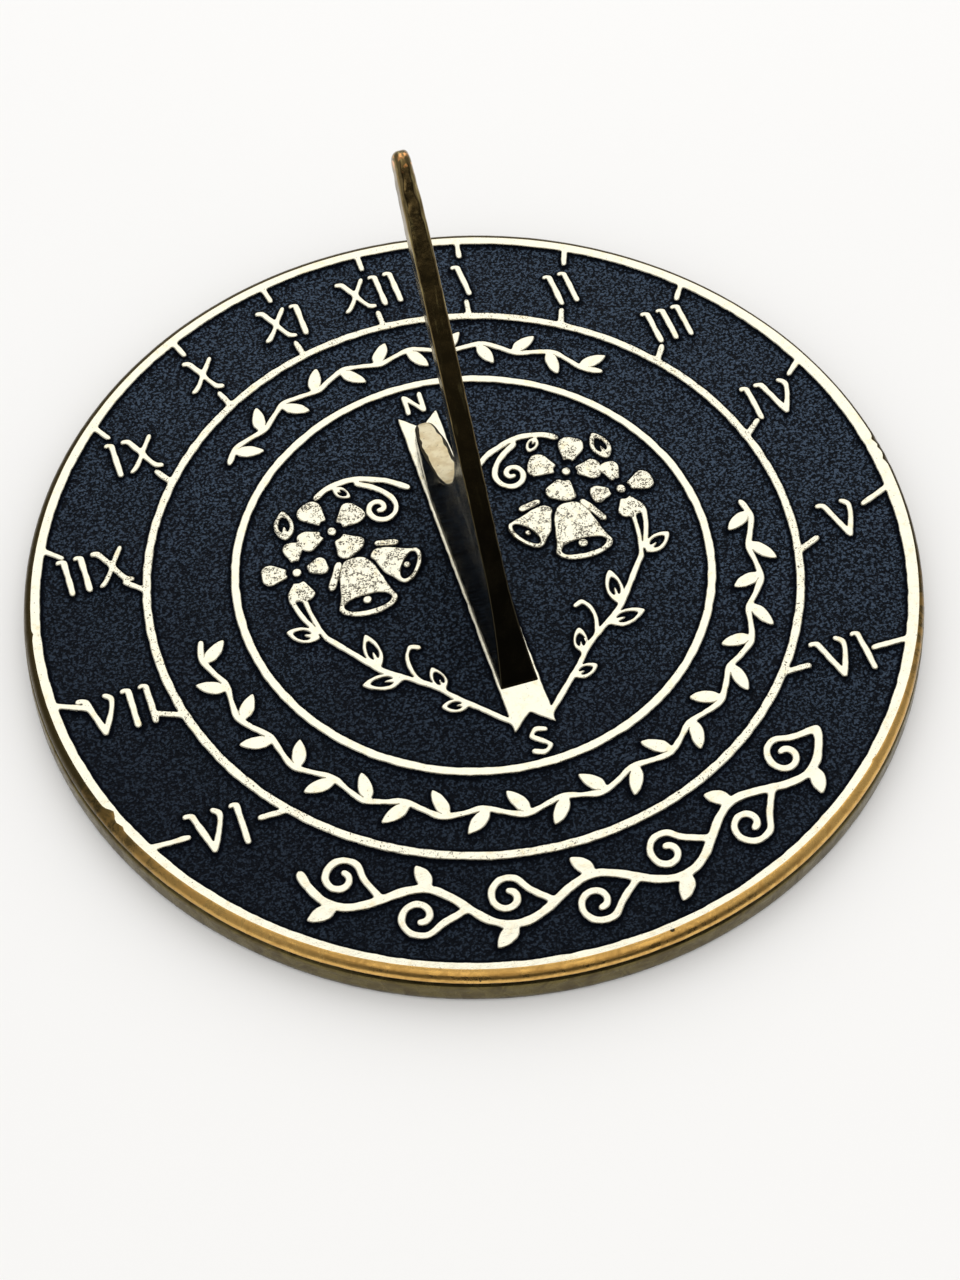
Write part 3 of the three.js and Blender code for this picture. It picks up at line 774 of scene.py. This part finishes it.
# Chips out of the outer edge of the land: east, north, width, depth
LAND_CHIPS = [
    (-99, -41, 1.5, 1.2),
    (-97.2, -45, 0.8, 0.5),
    (107, 5.5, 0.9, 0.7),
    (107.1, 2.6, 0.6, 0.45),
    (107.1, -1, 0.9, 0.6),
    (-106.4, 12, 0.8, 0.4),
    (71, -80, 0.8, 0.35),
]
CHIPPED_RINGS = 8

# Numbers of the casting's materials
LAND, RIM, UNDERSIDE = 0, 1, 2


def rim_profile():
    """The plate's surface as points [radius, height]: the bevel, the side below it down to the foot, and
    what is beneath, from the foot to the edge of the recess."""
    bevel = []
    for k in range(BEVEL_RINGS):
        angle = math.pi / 2 * (1 - k / (BEVEL_RINGS - 1))
        bevel.append((LAND_OUTER_RADIUS + BEVEL_WIDTH * math.cos(angle),
                      RELIEF_TOP - BEVEL_HEIGHT * (1 - math.sin(angle))))
    side = [(DIAL_RADIUS + out, z) for out, z in GROOVE + BAND + LOWER_EDGE]
    foot = [(DIAL_RADIUS + out, z) for out, z in PLATE_FOOT]
    recess = [(DIAL_RADIUS - SKIRT_THICKNESS - inset, z) for inset, z in RECESS_SIDE]
    return bevel, side, foot + recess


def chipping(number):
    """How deep the chips are round the rim, on one of its rings counted from the land outwards."""
    depths = np.zeros(RIM_SEGMENTS)
    for east, north, width, depth in LAND_CHIPS:
        away = np.linalg.norm(circle(math.hypot(east, north)) - (east, north), axis=1)
        depths += depth * np.exp(-((away / width) ** 2)) * max(0, 1 - number / CHIPPED_RINGS)
    return depths


def bevel_wear(ring, radius):
    """How much further in than its drawn width the bevel reaches."""
    southerly = np.clip(-ring[:, 1] / radius, 0, 1) ** 1.5
    easterly = np.clip(ring[:, 0] / radius, 0, 1) ** 3
    return SOUTH_WEAR * southerly - EAST_FULLNESS * easterly


def worn_ring(number, radius, z, bevel):
    """A ring round the rim, counted from the land outwards, with its dents, chips and wear."""
    ring = circle(radius)
    dents = [0.05 + ripple((x, y, 2 * z), 17, 0.05) + ripple((x, y, z), 3, 0.04) for x, y in ring]
    inward = np.maximum(np.array(dents) + chipping(number), 0)
    if number < len(bevel):
        bevel_foot = bevel[-1][0]
        inward += bevel_wear(ring, radius) * (bevel_foot - radius) / (bevel_foot - LAND_OUTER_RADIUS)
    return ring * (1 - inward / radius)[:, None]


def add_underside(solid, edge_ring, edge_radius):
    """The bottom of the recess, from its edge in to the middle, uneven as the sand left it."""
    rings = [edge_ring]
    for radius in np.linspace(edge_radius, 0, UNDERSIDE_RINGS)[1:-1]:
        rings.append(solid.add_points(
            (x, y, RECESS_Z + ripple((x, y, 0), 9, 0.1) + ripple((x, y, 0), 2.2, 0.06))
            for x, y in circle(radius)))
    for outer, inner in zip(rings, rings[1:]):
        solid.join_rings(inner, outer, RIM_SEGMENTS, UNDERSIDE)
    solid.cap([(rings[-1], RIM_SEGMENTS)], upward=False, material=UNDERSIDE)


def plate_casting(land_loops):
    """The rim with its land, and the underside. The land's inner loop carries the outer hour ticks."""
    solid = Solid()
    bevel, side, beneath = rim_profile()
    rings = []
    for number, (radius, z) in enumerate(bevel + side + beneath):
        ring = worn_ring(number, radius, z, bevel)
        rings.append(solid.add_points((x, y, z) for x, y in ring))
    for number, (upper, lower) in enumerate(zip(rings, rings[1:])):
        solid.join_rings(lower, upper, RIM_SEGMENTS, RIM if number < len(bevel + side) else UNDERSIDE)
    add_underside(solid, rings[-1], beneath[-1][0])

    land = [(rings[0], RIM_SEGMENTS)]
    for loop in land_loops:
        _, top = raise_wall(solid, loop)
        land.append(top)
    solid.cap(land, material=LAND)
    return solid


def disc_grid(radius, cells):
    """A grid of quads over a disc: the squares of a square grid bent into rings."""
    side = np.linspace(-1, 1, cells + 1)
    u, v = np.meshgrid(side, side)
    steep = np.abs(v) > np.abs(u)
    reach = np.where(steep, v, u)
    ratio = np.where(steep, u, v) / np.where(reach == 0, 1, reach)
    angle = np.where(steep, math.pi / 2 - math.pi / 4 * ratio, math.pi / 4 * ratio)
    x = radius * reach * np.cos(angle)
    y = radius * reach * np.sin(angle)
    row = cells + 1
    faces = [(j * row + i, j * row + i + 1, (j + 1) * row + i + 1, (j + 1) * row + i)
             for j in range(cells) for i in range(cells)]
    return np.column_stack([x.ravel(), y.ravel()]), faces


def enamel_field(loops, material):
    """The painted ground. The paint is thicker where it meets the raised work."""
    walls = point_tree(np.concatenate(loops))
    places, faces = disc_grid(RIM_INNER_RADIUS + 0.6, FIELD_CELLS)
    points = []
    openness = []
    for x, y in places:
        _, _, gap = walls.find((x, y, 0))
        nearness = math.exp(-((gap / POOL_WIDTH) ** 2))
        skin = ripple((x, y, 0), 7, 0.06) + ripple((x, y, 3), 1.9, 0.08) + ripple((x, y, 7), 0.8, 0.09)
        points.append((x, y, FIELD_Z - 0.04 + POOL_HEIGHT * nearness + skin))
        openness.append(1 - nearness)
    obj = mesh_object("enamel_field", points, [(corners, 0) for corners in faces], [material])
    add_layer(obj, "open", openness)
    return obj


# ---------------------------------------------------------------- gnomon

# Distance north, and half the thickness of the foot there
FOOT_TAPER = [
    (FOOT_SHOULDER_Y, BASE_HALF_THICKNESS),
    (24, 4.4),
    (31, 3.9),
    (37, 3.3),
    (FOOT_NORTH_Y - FOOT_END_RADIUS, FOOT_END_RADIUS),
]

# Height, and how much half the thickness lacks there
TIP_TAPER = [(72, 0), (81, 0.15), (TIP_HEIGHT, 0.55)]

# Height, or distance north at the foot, and the radius that the edges are rounded to there
TIP_ROUNDING = [(58, EDGE_ROUNDING), (76, 0.8), (84, 1.6)]
FOOT_ROUNDING = [(22, EDGE_ROUNDING), (30, 0.9)]

# How far in from the gnomon's outline its rings of points lie, and the further ones on the worn edges
EDGE_RINGS = [0.0, 0.06, 0.16, 0.28, EDGE_ROUNDING]
WORN_EDGE_RINGS = [0.65, 0.95, 1.3, 1.7]

# The back edge from the foot to the style, as [north, height]
BACK_EDGE = [(34, 5.8), (25, 8.6), (17, 12.5), (11, 19), (7.4, 26), (6.6, 34), (9.5, 40.5)]

# Numbers of the gnomon's materials
POLISHED, AS_CAST = 0, 1


def spline_line(points, step):
    """Points about `step` apart on a smooth open line through the given ones."""
    points = [np.array(p, float) for p in points]
    points = [2 * points[0] - points[1], *points, 2 * points[-1] - points[-2]]
    pieces = []
    for before, start, end, after in zip(points, points[1:], points[2:], points[3:]):
        steps = max(1, round(np.linalg.norm(end - start) / step))
        pieces.append(spline_piece(before, start, end, after, steps))
    return np.vstack([*pieces, points[-2]])


def gnomon_outline():
    """The gnomon seen from the east, anticlockwise from its toe: points [north, height]."""
    slope = math.tan(STYLE_ANGLE)
    tip_z = TIP_HEIGHT - TIP_RADIUS
    tip_y = STYLE_ROOT_Y + (tip_z + TIP_RADIUS / math.cos(STYLE_ANGLE)) / slope
    tip = []
    for k in range(25):
        angle = STYLE_ANGLE - math.pi / 2 + k / 24 * math.pi
        tip.append((tip_y + TIP_RADIUS * math.cos(angle), tip_z + TIP_RADIUS * math.sin(angle)))
    back = spline_line([(FOOT_NORTH_Y - 1.5, FOOT_END_HEIGHT), *BACK_EDGE, tip[0]], 1.0)
    corners = [(STYLE_ROOT_Y, 0.0), (FOOT_NORTH_Y - 0.6, 0.0), (FOOT_NORTH_Y - 0.05, 0.7),
               (FOOT_NORTH_Y - 0.1, 2.0), (FOOT_NORTH_Y - 0.6, 2.9)]
    return respaced(np.vstack([corners, back[:-1], tip]), GNOMON_STEP)


def gnomon_half_thickness(y, z):
    """Half the gnomon's thickness: wide at the base, thinner at the tip, and rounded off at the foot."""
    rise = min(max(z / FLARE_HEIGHT, 0), 1)
    half = BLADE_HALF_THICKNESS + (BASE_HALF_THICKNESS - BLADE_HALF_THICKNESS) * (1 - rise) ** 2
    half -= between(z, TIP_TAPER)
    if z < FOOT_HEIGHT and y > FOOT_SHOULDER_Y:
        half = min(half, between(y, FOOT_TAPER))
        past_centre = y - FOOT_NORTH_Y + FOOT_END_RADIUS
        if past_centre > 0:
            half = min(half, math.sqrt(max(0.3, FOOT_END_RADIUS ** 2 - past_centre ** 2)))
    return half


def edge_wear(y, z):
    """The radius that the gnomon's edges are rounded to: most at the tip and the foot."""
    at_foot = between(y, FOOT_ROUNDING) if z < FOOT_HEIGHT else EDGE_ROUNDING
    return max(between(z, TIP_ROUNDING), at_foot)


def gnomon_places(outline, inward, tree):
    """Places all over the gnomon's side: rings along its edge, and a grid further in."""
    places = []
    for reach in EDGE_RINGS:
        places.extend(outline + inward * reach)
    low, high = outline.min(axis=0), outline.max(axis=0)
    for z in np.arange(low[1], high[1], GNOMON_GRID):
        for y in np.arange(low[0], high[0], GNOMON_GRID):
            _, nearest, gap = tree.find((y, z, 0))
            inside = np.dot(np.array([y, z]) - outline[nearest], inward[nearest]) > 0
            if inside and gap > max(EDGE_ROUNDING, edge_wear(y, z)) + 0.5 * GNOMON_GRID:
                places.append(np.array([y, z]))
    for reach in WORN_EDGE_RINGS:
        for y, z in outline + inward * reach:
            _, _, gap = tree.find((y, z, 0))
            if gap > reach - 0.05 and edge_wear(y, z) > reach - 0.4:
                places.append(np.array([y, z]))
    return places


def gnomon_face(side, places, tree):
    """The points of the gnomon's east face, for side 1, or west face, for side -1, with rounded edges."""
    points = []
    for y, z in places:
        _, _, gap = tree.find((y, z, 0))
        half = gnomon_half_thickness(y, z)
        wear = edge_wear(y, z) * (1 + ripple((side * 5, y, z), 2.4, 0.55))
        wear = min(wear, 0.85 * half)
        lack = max(0.0, 1 - gap / wear) if gap < wear else 0.0
        half -= wear * (1 - math.sqrt(1 - lack * lack))
        points.append((side * half, y, z + RELIEF_TOP))
    return points


def add_edge(solid, east_edge, west_edge, outline, inward):
    """Closes the gnomon between the edges of its two faces. Its north-facing back is left as cast."""
    columns = 4
    count = len(outline)
    pairs = [(solid.points[e], solid.points[w]) for e, w in zip(east_edge, west_edge)]
    previous = east_edge
    for column in range(1, columns + 1):
        if column == columns:
            current = west_edge
        else:
            share = column / columns
            first = solid.add_points([a + (b - a) * share for a, b in zip(e, w)] for e, w in pairs)
            current = list(range(first, first + count))
        for i in range(count):
            j = (i + 1) % count
            faces_north = inward[i][0] < 0
            back = faces_north and 0.2 < outline[i][1] < BACK_TOP
            solid.faces.append(((previous[i], current[i], current[j], previous[j]),
                                AS_CAST if back else POLISHED))
        previous = current


def gnomon(materials):
    """The gnomon: its outline filled with triangles, once for each face, and the edge between them."""
    outline = gnomon_outline()
    inward = -outward(outline)
    tree = point_tree(outline)
    count = len(outline)
    edges = [(ring * count + i, ring * count + (i + 1) % count)
             for ring in range(len(EDGE_RINGS)) for i in range(count)]
    wanted = [Vector(p) for p in gnomon_places(outline, inward, tree)]
    places, _, triangles, *_ = delaunay_2d_cdt(wanted, edges, [], 1, 1e-7)
    solid = Solid()
    east = solid.add_points(gnomon_face(1, places, tree))
    west = solid.add_points(gnomon_face(-1, places, tree))
    for a, b, c in triangles:
        solid.faces.append(((east + a, east + b, east + c), POLISHED))
        solid.faces.append(((west + c, west + b, west + a), POLISHED))
    boundary = boundary_order(places, outline)
    add_edge(solid, [east + k for k in boundary], [west + k for k in boundary], outline, inward)
    return solid.object("gnomon_blade", materials)


def boundary_order(places, outline):
    """The numbers of the triangulated points that lie on the outline, in its order."""
    tree = point_tree(places)
    return [tree.find((*point, 0))[1] for point in outline]


# ---------------------------------------------------------------- the dial

relief = relief_finish()
edge = edge_finish()
enamel = enamel_finish()
raw_cast = raw_cast_finish()

regions = sorted(top_regions(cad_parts["dial_plate"]), key=lambda loops: -max(map(area, loops)))
land_region, *other_regions = [
    sorted((hand_cut(loop) for loop in loops if abs(area(loop)) > 0.3), key=lambda loop: -area(loop))
    for loops in regions
]
land_inside = land_region[1:]

casting = plate_casting(land_inside).object("plate_casting", [relief, edge, raw_cast])
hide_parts("dial_plate")

raised = Solid()
pitted = []
for loops in other_regions:
    raise_region(raised, loops)
    pitted.extend(pitting(loops, raised.points[len(pitted):]))
relief_object = raised.object("raised_work", [relief])
add_layer(relief_object, "pitted", pitted)

field = enamel_field(land_inside + [loop for loops in other_regions for loop in loops], enamel)

blade = gnomon([gnomon_finish(), cast_foot_finish()])
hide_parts("gnomon")

for piece in (casting, relief_object, field, blade):
    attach(piece, "root")

steel = steel_finish()
for name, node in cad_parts.items():
    if name.startswith(("gnomon_screw", "gnomon_washer")):
        for slot in node.material_slots:
            slot.material = steel

# ---------------------------------------------------------------- stage, lights and camera


def stage_floor():
    """A plain floor, in squares."""
    half = 4000.0
    count = 8
    side = np.linspace(-half, half, count + 1)
    points = [(x, y, 0.0) for y in side for x in side]
    row = count + 1
    faces = [((j * row + i, j * row + i + 1, (j + 1) * row + i + 1, (j + 1) * row + i), 0)
             for j in range(count) for i in range(count)]
    floor = mesh_object("floor", points, faces, [floor_finish()])


def area_light(name, azimuth, elevation, distance, size, radiance, colour):
    """A soft rectangle that faces the dial from a compass bearing and height in degrees."""
    data = bpy.data.lights.new(name, "AREA")
    data.shape = "RECTANGLE"
    data.size, data.size_y = size
    data.energy = radiance * math.pi * size[0] * size[1]
    data.color = colour
    light = bpy.data.objects.new(name, data)
    bearing, height = math.radians(azimuth), math.radians(elevation)
    towards = Vector((math.sin(bearing) * math.cos(height), math.cos(bearing) * math.cos(height),
                      math.sin(height)))
    light.location = towards * distance
    light.rotation_mode = "QUATERNION"
    light.rotation_quaternion = towards.to_track_quat("Z", "Y")
    bpy.context.scene.collection.objects.link(light)


# Brightness of the world, for mirrored rays in the room and its dark corner, for the backdrop low down
# and high up, and for diffuse rays
ROOM_LEVEL = 0.42
DARK_CORNER_LEVEL = 0.03
BACKDROP_LEVELS = (0.76, 0.95)
DIFFUSE_LEVEL = 0.88


def studio_world():
    """A pale room with a dark corner to the south, which the style face mirrors."""
    world = bpy.data.worlds.new("studio")
    world.use_nodes = True
    tree = world.node_tree
    tree.nodes.clear()
    path = tree.nodes.new("ShaderNodeLightPath")
    view = tree.nodes.new("ShaderNodeTexCoord")

    def towards(direction, low, high, start, end):
        """A grey level that changes with how nearly a ray points in a direction."""
        product = tree.nodes.new("ShaderNodeVectorMath")
        product.operation = "DOT_PRODUCT"
        tree.links.new(view.outputs["Generated"], product.inputs[0])
        product.inputs[1].default_value = direction
        level = tree.nodes.new("ShaderNodeMapRange")
        level.interpolation_type = "SMOOTHSTEP"
        tree.links.new(product.outputs["Value"], level.inputs["Value"])
        for name, value in (("From Min", low), ("From Max", high), ("To Min", start), ("To Max", end)):
            level.inputs[name].default_value = value
        return level.outputs["Result"]

    def choose(ray, otherwise, level):
        """One level for a kind of ray, and another for the rest."""
        mix = tree.nodes.new("ShaderNodeMix")
        tree.links.new(path.outputs[ray], mix.inputs["Factor"])
        tree.links.new(otherwise, mix.inputs["A"])
        if isinstance(level, float):
            mix.inputs["B"].default_value = level
        else:
            tree.links.new(level, mix.inputs["B"])
        return mix.outputs["Result"]

    dark_corner = (0, -0.87, 0.49)
    mirrored = towards(dark_corner, 0.62, 0.86, ROOM_LEVEL, DARK_CORNER_LEVEL)
    backdrop = towards((0, 0, 1), 0.0, 0.3, *BACKDROP_LEVELS)
    level = choose("Is Diffuse Ray", choose("Is Camera Ray", mirrored, backdrop), DIFFUSE_LEVEL)
    background = tree.nodes.new("ShaderNodeBackground")
    tree.links.new(level, background.inputs["Color"])
    output = tree.nodes.new("ShaderNodeOutputWorld")
    tree.links.new(background.outputs[0], output.inputs["Surface"])
    bpy.context.scene.world = world


CAMERA_PLACE = Vector((-81.5, -274.65, 422.75))
CAMERA_RIGHT = Vector((0.95402, -0.29966, -0.00711))
CAMERA_UP = Vector((0.25616, 0.80274, 0.53845))


def add_camera():
    """Looks down on the dial from the south-south-west."""
    data = bpy.data.cameras.new("camera")
    data.sensor_width = 36.0
    data.lens = 58.1
    data.clip_start = 0.01
    data.clip_end = 50
    camera = bpy.data.objects.new("camera", data)
    turn = Matrix((CAMERA_RIGHT, CAMERA_UP, CAMERA_RIGHT.cross(CAMERA_UP))).transposed().to_4x4()
    camera.matrix_world = Matrix.Translation(CAMERA_PLACE * MM) @ turn
    bpy.context.scene.collection.objects.link(camera)
    bpy.context.scene.camera = camera


stage_floor()
area_light("north_softbox", 17, 46, 1.4, (1.3, 1.6), 0.84, (1.0, 0.985, 0.95))
area_light("south_softbox", 180, 68, 1.5, (1.2, 1.1), 0.66, (1.0, 0.92, 0.78))
studio_world()
add_camera()
bpy.context.scene.view_settings.view_transform = "Standard"
